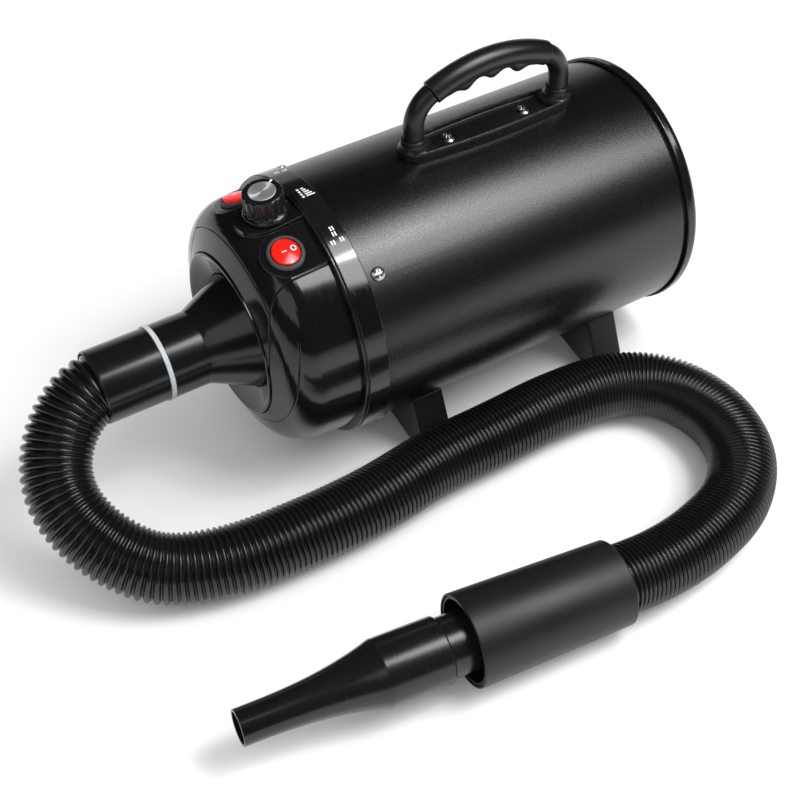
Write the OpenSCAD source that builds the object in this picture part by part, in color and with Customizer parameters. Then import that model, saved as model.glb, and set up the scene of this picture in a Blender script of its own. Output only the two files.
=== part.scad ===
// Forced-air pet dryer: a steel drum on two feet, a moulded front with the controls,
// a carrying handle, and a corrugated hose that ends in a grip with a tapered nozzle.
// Millimetres, +Z up. The drum's axis runs along Y, the air outlet faces -Y and the
// handpiece lies on the +X side. The origin is on the floor, under the middle of the
// dryer and its handpiece.

/* [Drum] */
// Outer diameter of the steel drum
tube_d = 170; // [168:1:172]
// Length of the steel drum
tube_len = 229; // [225:1:232]
// Wall thickness of the steel drum
tube_wall = 1.5; // [1.2:0.1:1.6]
// Height of the drum's axis above the floor
axis_h = 97; // [97:0.5:100]

/* [Front] */
// Length of the glossy band between the drum and the front housing
band_len = 16.6; // [15:0.1:18]
// How far the band stands proud of the drum
band_step = 1.9; // [1:0.1:2.5]
// Radius of the front housing where it meets the band
housing_r = 82.2; // [81.5:0.1:82.5]
// Wall thickness of the front mouldings
shell = 3; // [2.6:0.1:3.2]
// Radius of the dished collar round the air outlet
collar_r = 54; // [53:0.5:55]

/* [Controls] */
// Diameter of the round rocker button
rocker_d = 17.4; // [17:0.1:17.6]
// How far a rocker tips to each side of level, in degrees
rocker_tilt = 8; // [6:1:8]
// Diameter of the fluted part of the speed knob
knob_d = 25.6; // [24:0.2:26]
// Height of the speed knob above its platform
knob_h = 17.3; // [16:0.1:18]

/* [Handle] */
// Distance between the centres of the two handle posts
handle_span = 109; // [106:1:112]
// Height of the grip's centre line above the drum's axis
handle_rise = 135.2; // [134:0.2:137]
// Diameter of the handle's arms
arm_d = 13; // [12:0.5:14]
// Diameter of the handle's grip
grip_bar_d = 15.6; // [15:0.2:16.4]

/* [Feet] */
// Width of each foot along the drum
foot_len = 22.5; // [20:0.5:24]
// Distance from the drum's axis to the outer edge of a foot at the floor
foot_reach = 84; // [82:0.5:85]
// Thickness of the rubber pads
pad_h = 3; // [2.5:0.5:3]

/* [Hose and handpiece] */
// Outer diameter of the corrugated hose
hose_d = 44; // [43:0.5:44]
// Wall thickness of the hose, corrugations included
hose_wall = 3; // [2:0.5:4]
// Outer diameter of the hose cuff
cuff_d = 47.4; // [47:0.2:48.4]
// Length of the soft sleeve on the grip
sleeve_len = 102; // [95:1:110]
// Radius of the sleeve at its front end
sleeve_r1 = 28.8; // [28.2:0.1:30]
// Radius of the sleeve at the hose end
sleeve_r0 = 26.7; // [26:0.1:27.5]
// Outer radius of the nozzle's wide end
nozzle_r = 20.4; // [20.2:0.1:21]
// Outer radius of the nozzle's tip
tip_r = 10.9; // [10.5:0.1:11.5]

/* [Hidden] */
$fn = 64;

// Small amount by which a cut runs past the face it opens
eps = 0.5;

// Where the drum's front edge stands on the floor plan
body_x = -91.65;
body_y = -31.3;

// Drum
tube_r = tube_d / 2;
bore_r = tube_r - tube_wall;
band_r = tube_r + band_step;
spigot_r = bore_r - 0.1;
spigot_in = 80;
spigot_len = 14;
screw_y = 8;
screw_angles = [45, 135, 225, 315];
screw_r = 2;
rear_spigot = 13;
rear_gap = 2.5;
bezel_y = tube_len + rear_gap;
bezel_len = 9;
bezel_r = tube_r + 2;
bezel_in = 78;

// Front housing: a short drum, a large rounded edge and a shallow conical face
face_slope = 9.2 / 25.9;
edge_y = -55.3;
edge_r = 80.2;
edge_round = 24;
deck_half = 45.5;
part_gap = 0.35;
dish_y = -59.6;
neck_r = 37.7;
neck_back = -42;
seam_r = 68;
seam_w = 0.7;
seam_depth = 0.6;
cheek_seam_r = 64.3;
cheek_seam_x = 8;
cheek_seam_z = 12;
cheek_seam_top = 38;

// Control platforms, each a flat tongue that runs forward out of the deck
deck_tilt = 6;
side_lean = 22;
side_x = 30.3;
side_y = -37;
side_z = 74.2;
side_r = 15.5;
mid_y = -33;
mid_z = 82.3;
mid_r = 15.5;
mid_nose = -5;
platform_wall = 2.6;

// Rocker switch
bezel_ring_r = 11.6;
barrel_r = 9.9;
rocker_gap = 0.6;
rocker_pivot = 1;
rocker_pin_r = 1;
rocker_bore_r = 1.06;
rocker_base = -2;
rocker_top = 3.6;
rocker_dome = 36;
barrel_len = 18;
barrel_wall = 1.6;
well_depth = 5;
rim_h = 1.2;
tab = [4.8, 0.8, 6.5];

// Control board, on the shelves of the band
board_z = 66;
board_w = 17;
board_t = 1.6;

// Knob and potentiometer
shaft_r = 3;
shaft_gap = 0.06;
shaft_end = 3.5;
cap_r = 8.5;
cap_t = 1;
skirt_z = 0.6;
skirt_h = 2.2;
skirt_w = 1.5;
flutes = 14;
flute_r = 2;
pot_r = 8.2;
pot_h = 9.2;
pot_bottom = -12;

// Handle
handle_y = 125;
main_r = 94;
turn_r = 22;
post_top = 98;
base_half = 12.5;
base_end = 9.8;
base_top = 91;
recess_floor = 87.6;
base_foot = 78;
base_rim = 1.8;
handle_screw_r = 4.2;
handle_screw_well = 1.2;
post_skirt = 12.5;
handle_screw_gap = 28.5;

// Centres of the handle's arcs, and the angle at which the large one meets a small one
turn_x = handle_span / 2 - turn_r;
main_z = handle_rise - main_r;
turn_h = sqrt(pow(main_r - turn_r, 2) - turn_x * turn_x);
turn_z = main_z + turn_h;
meet = atan(turn_x / turn_h);

// Finger hollows under the grip, as deep as its lower ridge is tall
hollow_r = 17;
hollow_step = 13;
ridge_d = 13;
ridge_drop = 3.4;
hollow_drop = 7.2;

// Feet
foot_ys = [29.5, 171];
foot_wall = 3;
foot_skin = 2.4;
toe_w = 12;
pad_w = 10;
foot_screw_angles = [-118, -62];

// Bush for the mains lead, low on the drum's wall near the filter
gland_y = 208;
gland_angle = 215;
gland_neck_r = 6;
gland_bore_r = 3.7;

// Outlet train along the drum's axis
cone_y = -60.5;
cone_r = 37.2;
duct_r = 34.3;
neck_y = -87;
adapter_end = -113.5;
ring_w = 3;
cuff_len = 40.5;
cuff_lip = 4;
cuff_end = adapter_end - ring_w - cuff_len;
hose_start = cuff_end + cuff_lip;
adapter_r = 24;
adapter_bore = 20.5;
plug_y = -46;
cuff_bore = 20;

// Handpiece: the sleeve is a slight cone that lies on the floor along one side
hand_x = 152.25;
hand_y = 28.4;
hand_yaw = -6.4;
hand_pitch = atan((sleeve_r1 - sleeve_r0) / sleeve_len);
grip_r = 18.5;
grip_bore = 16.3;
socket_gap = 0.1;
hose_socket = 12;
sleeve_recess = 16;
stub_len = 13.5;
nozzle_seat = 18;
nozzle_wide = 39.3;
nozzle_taper = 84.7;
nozzle_wall = 1.6;
taper_power = 2.7;
tip_bore = tip_r - 1.5;
tip_land = 12;

// Motor and fan, along the drum's axis
bulkhead_y = 148;
fan_r = 62;
fan_len = 38;
motor_r = 42;
motor_y = 88;
motor_shaft_r = 4;
stator_y = motor_y + 17;
stator_len = 32;
stator_bore = 25.6;
bearing_boss_r = 11;
spider_r = 15;
spider_arms = 3;
bearing_gap = 0.05;
impeller_r = 56;
hub_r = 9;
eye_r = 20;
bulkhead_t = 2;
gasket_t = 3.5;
fan_y = bulkhead_y + bulkhead_t + gasket_t;

// Heating wire: rings let into the crossed plates
heater_y = 13.5;
heater_len = 58;
heater_half = 62;
mica_t = 1.6;
coil_r = 46;
coil_wire_r = 1.2;
coil_y = 27;
coil_pitch = 8;
coil_turns = 6;

// Centre line of the hose, from the cuff to the grip, laid on the floor between them
hose_r = hose_d / 2;
hose_route = [
    [body_x, body_y + hose_start, axis_h],
    [-91.5, -192, 96], [-88.8, -204, 90.4], [-81, -218, 79.5], [-68, -228, 66], [-49, -230, 52],
    [-25, -219, 36], [-2, -196, 24.2], [13, -158, 22.2], [18, -112, 22.2], [18, -60, 22.2],
    [12, -8, 22.2], [11, 42, 22.2], [10, 88, 22.2], [16, 131, 22.2], [38, 161, 22.2],
    [75, 172, 22.2], [112, 162, 22.2], [138, 134, 22.2], [150, 97, 22.4], [153.6, 62, 23.6],
    [hand_x, hand_y, sleeve_r0]
];
rings_per_leg = 3;
hose_sides = 12;

// ---------------------------------------------------------------- helpers

// Places children drawn along +Z so that they run along the drum, y past its front edge
module along_body(y = 0) {
    translate([body_x, body_y + y, axis_h])
        rotate([-90, 0, 0])
            children();
}

// Places children in the drum's frame: X across, Y along the drum, Z up from its axis
module body_frame() {
    translate([body_x, body_y, axis_h])
        children();
}

// Places children on the drum's wall at an angle up from +X, with +Z pointing outwards
module on_wall(y, angle, r) {
    body_frame()
        translate([r * cos(angle), y, r * sin(angle)])
            rotate([0, 90 - angle, 0])
                children();
}

// Places children in the handpiece's frame: +Z runs from the hose towards the nozzle
module hand_frame() {
    translate([hand_x, hand_y, sleeve_r0 * cos(hand_pitch)])
        rotate([90 - hand_pitch, 0, hand_yaw])
            children();
}

// Places children on a rocker's platform, side -1 for the left and 1 for the right
module side_frame(side) {
    body_frame()
        translate([side * side_x, side_y, side_z])
            rotate([deck_tilt, side * side_lean, 0])
                children();
}

// Places children on the knob's platform
module mid_frame() {
    body_frame()
        translate([0, mid_y, mid_z])
            rotate([deck_tilt, 0, 0])
                children();
}

// A tube from y0 to y1 along the drum
module pipe(y0, y1, r_out, r_in) {
    along_body(y0)
        difference() {
            cylinder(h = y1 - y0, r = r_out);
            translate([0, 0, -eps])
                cylinder(h = y1 - y0 + 2 * eps, r = r_in);
        }
}

// Points of an arc about c, from angle a0 to angle a1
function arc(c, r, a0, a1, n = 10) =
    [for (i = [0 : n]) let (a = a0 + (a1 - a0) * i / n) [c[0] + r * cos(a), c[1] + r * sin(a)]];

// Unit vector
function unit(v) = v / norm(v);

// Points that round the corner b between a and c with radius r
function rounded(a, b, c, r, n = 10) =
    let (u = unit(a - b), v = unit(c - b), half = acos(u * v) / 2,
         p = b + u * r / tan(half), q = b + v * r / tan(half),
         m = b + unit(u + v) * r / sin(half),
         a0 = atan2(p[1] - m[1], p[0] - m[0]), a1 = atan2(q[1] - m[1], q[0] - m[0]),
         sweep = a1 - a0 > 180 ? a1 - a0 - 360 : a1 - a0 < -180 ? a1 - a0 + 360 : a1 - a0)
    arc(m, r, a0, a0 + sweep, n);

// A list back to front
function reversed(v) = [for (i = [len(v) - 1 : -1 : 0]) v[i]];

// Position of the conical face where it reaches radius r
function face_y(r) = edge_y - (edge_r - r) * face_slope;

// Half outline of the front's shell, inset by t, from the band down to the outlet
function front_line(t) =
    let (a = [housing_r - t, -band_len], b = [edge_r - t, edge_y + t],
         c = [neck_r, face_y(neck_r) + t * 1.04])
    concat([a], rounded(a, b, c, edge_round - t, 14), [c]);

// Shell of the front outside the collar
module front_shell() {
    along_body()
        rotate_extrude($fn = 128)
            difference() {
                polygon(concat(front_line(0), reversed(front_line(shell))));
                translate([0, -100])
                    square([collar_r + part_gap, 100]);
            }
}

// Skin of the front's outer face, as deep as a seam
module seam_skin() {
    along_body()
        rotate_extrude($fn = 128)
            polygon(concat(front_line(-1), reversed(front_line(seam_depth))));
}

// Lip that locates the front mouldings inside the band
module housing_lip() {
    pipe(-band_len - 5, -band_len + 6, spigot_in - 0.2, spigot_in - 3.2);
}

// Outline of the control deck seen from the front, grown by g to each side
module deck_outline(g) {
    side = [[deck_half + g, 120], [deck_half + g, 60], [52 + g, 31], [53.5 + g, 6]];
    polygon(concat(side, reversed([for (p = side) [-p[0], p[1]]])));
    circle(r = collar_r + g);
}

// The same outline as a prism that runs through the whole front
module deck_region(g) {
    body_frame()
        translate([0, 20, 0])
            rotate([90, 0, 0])
                linear_extrude(height = 120)
                    deck_outline(g);
}

// Seam on a cheek, side -1 for the left and 1 for the right
module cheek_seam(side) {
    intersection() {
        seam_skin();
        body_frame()
            rotate([90, 0, 0])
                linear_extrude(height = 100)
                    intersection() {
                        translate([side * cheek_seam_x, cheek_seam_z])
                            difference() {
                                circle(r = cheek_seam_r + seam_w);
                                circle(r = cheek_seam_r);
                            }
                        translate([side < 0 ? -100 : 0, -100])
                            square([100, 100 + cheek_seam_top]);
                    }
    }
}

// Tongue outline: a round nose and straight sides that run back
module tongue(r, back) {
    circle(r = r);
    translate([-r, 0])
        square([2 * r, back]);
}

// Cross-slotted pan screw along +Z: head on z = 0, shank below it
module pan_screw(head_r, head_h, shank_r, shank_len) {
    difference() {
        intersection() {
            cylinder(h = head_h, r = head_r);
            translate([0, 0, head_h - 1.6 * head_r])
                sphere(r = 1.6 * head_r);
        }
        for (a = [0, 90])
            rotate([0, 0, a])
                translate([-head_r * 0.6, -0.5, head_h - 1.3])
                    cube([head_r * 1.2, 1, 2]);
    }
    translate([0, 0, -shank_len])
        cylinder(h = shank_len, r = shank_r);
}

// Catmull-Rom point between b and c
function spline(a, b, c, d, t) =
    0.5 * (2 * b + (c - a) * t + (2 * a - 5 * b + 4 * c - d) * t * t
           + (3 * b - a - 3 * c + d) * t * t * t);

// Centre line through every point of a route, n steps to each leg
function smooth(p, n) =
    let (m = len(p) - 1)
    concat([for (i = [0 : m - 1]) for (k = [0 : n - 1])
        spline(p[max(i - 1, 0)], p[i], p[i + 1], p[min(i + 2, m)], k / n)], [p[m]]);

// Direction of a line of points at point i
function heading(p, i) = unit(p[min(i + 1, len(p) - 1)] - p[max(i - 1, 0)]);

// One ring of points about c, square to direction d
function ring(c, d, r, n) =
    let (side = unit(cross(d, [0, 0, 1])), up = cross(side, d))
    [for (k = [0 : n - 1]) c + r * (cos(360 * k / n) * side + sin(360 * k / n) * up)];

// Hollow tube swept along a line of points, with its first and last rings square to d0 and d1
module swept_tube(p, r_out, r_in, n, d0, d1) {
    m = len(p);
    dirs = [for (i = [0 : m - 1]) i == 0 ? d0 : i == m - 1 ? d1 : heading(p, i)];
    outer = [for (i = [0 : m - 1]) each ring(p[i], dirs[i], r_out, n)];
    inner = [for (i = [0 : m - 1]) each ring(p[i], dirs[i], r_in, n)];
    o = m * n;
    skin = [for (i = [0 : m - 2]) for (k = [0 : n - 1])
        let (a = i * n + k, b = i * n + (k + 1) % n, c = b + n, d = a + n)
        each [[a, d, c], [a, c, b]]];
    lining = [for (f = skin) [f[0] + o, f[2] + o, f[1] + o]];
    last = (m - 1) * n;
    ends = [for (k = [0 : n - 1]) let (j = (k + 1) % n)
        each [[k, j, o + j], [k, o + j, o + k],
              [last + k, last + o + j, last + j], [last + k, last + o + k, last + o + j]]];
    polyhedron(points = concat(outer, inner), faces = concat(skin, lining, ends), convexity = 12);
}

// ---------------------------------------------------------------- drum and front

module body_tube() {
    color("#33363a")
        difference() {
            pipe(0, tube_len, tube_r, bore_r);
            for (a = screw_angles)
                on_wall(screw_y, a, tube_r - 10)
                    cylinder(h = 20, r = screw_r + 0.05);
            for (y = foot_ys)
                for (a = foot_screw_angles)
                    on_wall(y + foot_len / 2, a, tube_r - 10)
                        cylinder(h = 20, r = screw_r + 0.05);
            for (s = [-1, 1])
                on_wall(handle_y + s * handle_screw_gap, 90, tube_r - 10)
                    cylinder(h = 20, r = screw_r + 0.05);
            on_wall(gland_y, gland_angle, tube_r - 10)
                cylinder(h = 20, r = gland_neck_r + 0.05);
        }
}

// Outer ring of the band, with a small lip along its front edge and a groove behind the lip
module band_ring() {
    y0 = -band_len;
    r = band_r;
    along_body()
        rotate_extrude($fn = 128)
            polygon([[spigot_in, y0], [r - 1.4, y0], [r - 0.8, y0 + 0.2], [r - 0.6, y0 + 0.7],
                     [r - 0.6, y0 + 1.2], [r - 1.2, y0 + 1.4], [r - 1.2, y0 + 2],
                     [r - 0.4, y0 + 2.1], [r, y0 + 2.5], [r, -0.4], [r - 0.4, 0], [spigot_in, 0]]);
}

module front_band() {
    color("#141517")
        difference() {
            union() {
                band_ring();
                pipe(-1, spigot_len, spigot_r, spigot_in);
                for (s = [-1, 1])
                    body_frame()
                        intersection() {
                            translate([s * 41 - 11, -8, board_z - 6])
                                cube([22, board_w + 2, 6]);
                            rotate([-90, 0, 0])
                                translate([0, 0, -20])
                                    cylinder(h = 60, r = spigot_in + 1);
                        }
            }
            for (a = screw_angles)
                on_wall(screw_y, a, tube_r - 10)
                    cylinder(h = 20, r = screw_r + 0.05);
        }
}

module front_housing() {
    color("#17181a")
        difference() {
            union() {
                front_shell();
                housing_lip();
            }
            deck_region(part_gap);
            cheek_seam(-1);
            cheek_seam(1);
        }
}

// Dished ring that leads down to the neck, where the hose adapter plugs in
module outlet_collar() {
    r = collar_r - part_gap;
    y = face_y(r);
    color("#17181a")
        along_body()
            rotate_extrude($fn = 128)
                polygon([[r, y + shell], [r, y - 0.8], [r - 0.5, y - 1.2], [r - 1.5, y - 1.2],
                         [50, y - 0.5], [47, -63.9], [44, -62.5], [41, -61], [neck_r + 0.9, dish_y],
                         [neck_r, dish_y + 1.2], [neck_r, neck_back], [neck_r + 2.8, neck_back],
                         [neck_r + 2.8, dish_y + 2.4], [43, -59.2], [47, -60.9], [r - 2, y + shell]]);
}

// A tongue whose top is on z = 0: a platform's solid, and the spaces cut under and over it
module platform(r, back, depth) {
    translate([0, 0, -depth])
        linear_extrude(height = depth)
            tongue(r, back);
}

// Shell of the deck with its three platforms, each hollow underneath
module deck_walls() {
    difference() {
        union() {
            intersection() {
                union() {
                    front_shell();
                    housing_lip();
                }
                deck_region(-part_gap);
            }
            intersection() {
                union() {
                    for (s = [-1, 1])
                        side_frame(s)
                            platform(side_r, 30, 12);
                    mid_frame()
                        translate([0, mid_nose, 0])
                            platform(mid_r, 30, 9);
                }
                body_frame()
                    translate([-100, -100, 0])
                        cube([200, 100 - band_len, 120]);
            }
        }
        for (s = [-1, 1])
            side_frame(s) {
                translate([0, 0, -platform_wall])
                    platform(side_r - platform_wall, 15, 20);
                translate([0, 0, 10])
                    platform(side_r, 16, 10);
            }
        mid_frame()
            translate([0, mid_nose, -platform_wall])
                platform(mid_r - platform_wall, 16, 20);
    }
}

module control_deck() {
    color("#151618")
        difference() {
            deck_walls();
            intersection() {
                seam_skin();
                pipe(-100, 0, seam_r + seam_w, seam_r);
            }
            for (s = [-1, 1])
                side_frame(s)
                    translate([0, 0, -20])
                        cylinder(h = 40, r = barrel_r + 0.1);
            mid_frame()
                translate([0, 0, -20])
                    cylinder(h = 40, r = shaft_r + 0.9);
        }
}

// Funnel that leads the air from the drum to the outlet
module outlet_duct() {
    r = duct_r;
    color("#3a3a3a")
        along_body()
            rotate_extrude($fn = 128)
                polygon([[spigot_in - 0.2, 11.5], [spigot_in - 0.2, 13.5], [58, 13.5], [r - 2.4, -40],
                         [r - 2.4, -52], [r, -52], [r, -40.5], [60, 11.5]]);
}

// ---------------------------------------------------------------- outlet train

// Cone that plugs into the collar's neck and narrows to a short straight end
module hose_adapter() {
    color("#0f1011")
        along_body()
            rotate_extrude($fn = 128)
                polygon([[neck_r - 0.1, plug_y], [neck_r - 0.1, cone_y + 1], [cone_r, cone_y],
                         [adapter_r + 1, neck_y + 0.8], [adapter_r, neck_y - 2], [adapter_r, adapter_end],
                         [adapter_bore, adapter_end], [adapter_bore, neck_y + 1],
                         [duct_r + 0.1, cone_y + 2], [duct_r + 0.1, plug_y]]);
}

module seal_ring() {
    color("#b9bdc1")
        pipe(adapter_end - ring_w, adapter_end, adapter_r + 0.5, adapter_bore);
}

module hose_cuff() {
    color("#101112")
        along_body()
            rotate_extrude($fn = 128)
                polygon([[cuff_bore, adapter_end - ring_w], [cuff_d / 2, adapter_end - ring_w],
                         [cuff_d / 2, cuff_end + 1], [cuff_d / 2 - 0.6, cuff_end],
                         [hose_r + 0.6, cuff_end], [hose_r + 0.4, hose_start], [cuff_bore, hose_start]]);
}

module air_hose() {
    dir_end = [sin(hand_yaw) * cos(hand_pitch), -cos(hand_yaw) * cos(hand_pitch), sin(hand_pitch)];
    last = [hand_x, hand_y, sleeve_r0 * cos(hand_pitch)] + dir_end * hose_socket;
    color("#0c0d0e")
        swept_tube(concat(smooth(hose_route, rings_per_leg), [last]),
                   hose_r, hose_r - hose_wall, hose_sides, [0, -1, 0], dir_end);
}

// ---------------------------------------------------------------- handpiece

module grip_tube() {
    color("#0f1011")
        hand_frame()
            rotate_extrude($fn = 96)
                polygon([[grip_bore, hose_socket], [hose_r, hose_socket], [hose_r, hose_socket + 4],
                         [grip_r, hose_socket + 4], [grip_r, sleeve_len + stub_len + nozzle_seat - 0.5],
                         [grip_bore, sleeve_len + stub_len + nozzle_seat - 0.5]]);
}

// Soft sleeve with a fine groove in its front rim, between its skin and its liner
module grip_sleeve() {
    rim = sleeve_r1 - 3.4;
    skin = sleeve_r1 - 1.4;
    color("#2b2c2e")
        hand_frame()
            rotate_extrude($fn = 96)
                polygon([[hose_r + 0.3, 0], [sleeve_r0 - 0.8, 0], [sleeve_r0, 0.8],
                         [sleeve_r1, sleeve_len - 0.5], [sleeve_r1 - 0.5, sleeve_len], [skin, sleeve_len],
                         [skin, sleeve_len - 2], [skin - 0.6, sleeve_len - 2], [skin - 0.6, sleeve_len - 0.6],
                         [rim, sleeve_len - 0.6], [rim, sleeve_len - sleeve_recess],
                         [grip_r + 0.1, sleeve_len - sleeve_recess],
                         [grip_r + 0.1, hose_socket + 4.2], [hose_r + 0.3, hose_socket + 4.2]]);
}

// Outer radius of the nozzle a share t of the way down its taper
function taper_r(t) = tip_r + (nozzle_r - tip_r) * pow(1 - t, taper_power);

module nozzle() {
    z0 = sleeve_len + stub_len;
    z1 = z0 + nozzle_wide;
    z2 = z1 + nozzle_taper;
    steps = 14;
    outer = [for (i = [0 : steps]) [taper_r(i / steps), z1 + nozzle_taper * i / steps]];
    inner = [for (i = [steps : -1 : 0]) let (z = z1 + nozzle_taper * i / steps)
        if (z < z2 - tip_land - 2) [max(min(taper_r(i / steps) - nozzle_wall, grip_bore), tip_bore), z]];
    color("#131416")
        hand_frame()
            rotate_extrude($fn = 96)
                polygon(concat([[grip_r + socket_gap, z0], [nozzle_r - 0.7, z0], [nozzle_r, z0 + 1]],
                    outer, [[tip_bore, z2], [tip_bore, z2 - tip_land]], inner,
                    [[grip_bore, z0 + nozzle_seat], [grip_r + socket_gap, z0 + nozzle_seat]]));
}

// ---------------------------------------------------------------- controls

// The shaft's hole is blind, and the flutes stop above the skirt
module speed_knob() {
    r = knob_d / 2;
    color("#101113")
        mid_frame()
            difference() {
                union() {
                    translate([0, 0, skirt_z])
                        cylinder(h = skirt_h, r = r + skirt_w);
                    translate([0, 0, skirt_z + skirt_h])
                        cylinder(h = 1, r1 = r + skirt_w, r2 = r + 0.6);
                    translate([0, 0, skirt_z + 2])
                        cylinder(h = knob_h - skirt_z - 3.4, r = r);
                    translate([0, 0, knob_h - 1.4])
                        cylinder(h = 1, r1 = r, r2 = r - 1);
                }
                for (i = [0 : flutes - 1])
                    rotate([0, 0, 360 * (i + 0.5) / flutes])
                        translate([r + 1.1, 0, skirt_z + skirt_h + 1.4])
                            cylinder(h = knob_h, r = flute_r, $fn = 32);
                translate([0, 0, knob_h - cap_t])
                    cylinder(h = 3, r = cap_r);
                translate([0, 0, -eps])
                    cylinder(h = knob_h - shaft_end, r = shaft_r);
            }
}

module knob_cap() {
    color("#b4b6b8")
        mid_frame()
            translate([0, 0, knob_h - cap_t])
                cylinder(h = cap_t, r = cap_r);
}

module pot_shaft() {
    z0 = pot_bottom + 1;
    color("#9a9c9e")
        mid_frame()
            translate([0, 0, z0])
                cylinder(h = knob_h - shaft_end - 1 - z0, r = shaft_r);
}

module pot_body() {
    color("#5a6a52")
        mid_frame()
            difference() {
                union() {
                    translate([0, 0, pot_bottom])
                        cylinder(h = pot_h, r = pot_r);
                    translate([0, 0, pot_bottom + pot_h - 0.2])
                        cylinder(h = 3.3, r = shaft_r + 0.8);
                }
                translate([0, 0, pot_bottom + 0.8])
                    cylinder(h = 20, r = shaft_r + shaft_gap);
            }
}

// Button of a rocker switch, level, with its pivot hole across it
module rocker_button() {
    r = rocker_d / 2;
    difference() {
        intersection() {
            translate([0, 0, rocker_base])
                cylinder(h = 7, r = r);
            translate([0, 0, rocker_top - rocker_dome])
                sphere(r = rocker_dome, $fn = 96);
        }
        translate([-r - 1, 0, rocker_pivot])
            rotate([0, 90, 0])
                cylinder(h = 2 * r + 2, r = rocker_bore_r);
    }
}

// The rear edge, with the O mark, is pressed in
module rocker(side) {
    color("#d8180c")
        side_frame(side)
            translate([0, 0, rocker_pivot])
                rotate([-rocker_tilt, 0, 0])
                    translate([0, 0, -rocker_pivot])
                        rocker_button();
}

module rocker_left() {
    rocker(-1);
}

module rocker_right() {
    rocker(1);
}

// Snap-in switch: a rim on the platform, a barrel under it and the rocker's pivot pin
module switch_body(side) {
    hole_r = rocker_d / 2 + rocker_gap;
    color("#26272a")
        side_frame(side) {
            difference() {
                union() {
                    translate([0, 0, 0.02])
                        cylinder(h = rim_h, r = bezel_ring_r);
                    translate([0, 0, rim_h])
                        cylinder(h = 0.8, r1 = bezel_ring_r, r2 = bezel_ring_r - 0.8);
                    translate([0, 0, -barrel_len])
                        cylinder(h = barrel_len + 0.5, r = barrel_r);
                }
                translate([0, 0, -well_depth])
                    cylinder(h = well_depth + 7, r = hole_r);
                translate([0, 0, 1 - barrel_len])
                    cylinder(h = barrel_len - well_depth - 2, r = barrel_r - barrel_wall);
            }
            translate([-hole_r - 0.3, 0, rocker_pivot])
                rotate([0, 90, 0])
                    cylinder(h = 2 * hole_r + 0.6, r = rocker_pin_r);
            for (x = [-4, 4])
                translate([x - tab[0] / 2, -tab[1] / 2, 0.5 - barrel_len - tab[2]])
                    cube(tab);
        }
}

module switch_left() {
    switch_body(-1);
}

module switch_right() {
    switch_body(1);
}

module control_board() {
    color("#1f5a34")
        body_frame()
            translate([-42, -8, board_z])
                cube([84, board_w, board_t]);
}

// Heat sink, capacitor and triac on the board
module board_parts() {
    body_frame() {
        color("#a8abad")
            for (i = [0 : 3])
                translate([-24 + 4 * i, -6, board_z + board_t])
                    cube([1.4, 13, 8]);
        color("#2c3c8c")
            translate([2, 0, board_z + board_t])
                cylinder(h = 8, r = 4.5);
        color("#222222")
            translate([14, -4, board_z + board_t])
                cube([10, 4.5, 8]);
    }
}

// ---------------------------------------------------------------- handle

// Plan outline of the base: a slim boat with round ends, inset by t
module base_outline(t) {
    bow = (handle_span * handle_span / 4 + pow(base_half - base_end, 2)) / (2 * (base_half - base_end));
    intersection() {
        translate([-base_half, -handle_span / 2])
            square([2 * base_half, handle_span]);
        translate([bow - base_half + t, 0])
            circle(r = bow, $fn = 128);
        translate([base_half - bow - t, 0])
            circle(r = bow, $fn = 128);
    }
    for (s = [-1, 1])
        translate([0, s * handle_span / 2])
            circle(r = base_end - t);
}

module handle_base() {
    color("#1d1e20")
        difference() {
            body_frame()
                translate([0, handle_y, 0])
                    difference() {
                        union() {
                            translate([0, 0, base_foot])
                                linear_extrude(height = base_top - base_foot)
                                    base_outline(0);
                            for (s = [-1, 1])
                                translate([0, s * handle_span / 2, base_foot]) {
                                    cylinder(h = post_top - base_foot - 0.1, r = arm_d / 2 + 1.4);
                                    translate([0, 0, base_top - base_foot])
                                        cylinder(h = 3, r1 = base_end - 0.4, r2 = arm_d / 2 + 1.4);
                                }
                        }
                        translate([0, 0, recess_floor])
                            linear_extrude(height = 20)
                                difference() {
                                    base_outline(base_rim);
                                    for (s = [-1, 1])
                                        translate([0, s * handle_span / 2])
                                            circle(r = post_skirt);
                                }
                        for (s = [-1, 1])
                            translate([0, s * handle_screw_gap, base_foot - eps])
                                cylinder(h = 20, r = screw_r + 0.05);
                        for (s = [-1, 1])
                            translate([0, s * handle_screw_gap, recess_floor - handle_screw_well])
                                cylinder(h = 20, r = handle_screw_r + 0.8);
                    }
            along_body(40)
                cylinder(h = 170, r = tube_r + 0.02);
        }
}

// One arm, from its post to the grip's end: a straight socket and the bend that plugs into it
module handle_arm(side) {
    translate([0, handle_y, 0])
        mirror([0, side < 0 ? 1 : 0, 0]) {
            translate([0, turn_x, turn_z])
                rotate([90, 0, 90])
                    rotate_extrude(angle = 90 - meet, $fn = 96)
                        translate([turn_r, 0])
                            circle(d = arm_d);
            translate([0, handle_span / 2, post_top])
                cylinder(h = turn_z - post_top + 0.6, r = arm_d / 2 + 0.2);
        }
}

module handle_arms() {
    color("#202123")
        body_frame() {
            handle_arm(-1);
            handle_arm(1);
        }
}

// The grip is a little deeper than it is wide, with four finger hollows underneath
module handle_grip() {
    sweep = 2 * meet - 0.5;
    color("#242527")
        body_frame()
            translate([0, handle_y, main_z])
                difference() {
                    rotate([90, 0, 90])
                        rotate([0, 0, 90 - sweep / 2])
                            rotate_extrude(angle = sweep, $fn = 160)
                                translate([main_r, 0]) {
                                    circle(d = grip_bar_d);
                                    translate([-ridge_drop, 0])
                                        circle(d = ridge_d);
                                }
                    for (i = [-1.5 : 1.5])
                        rotate([hollow_step * i, 0, 0])
                            translate([-20, 0, main_r - hollow_drop - hollow_r])
                                rotate([0, 90, 0])
                                    cylinder(h = 40, r = hollow_r);
                }
}

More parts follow.
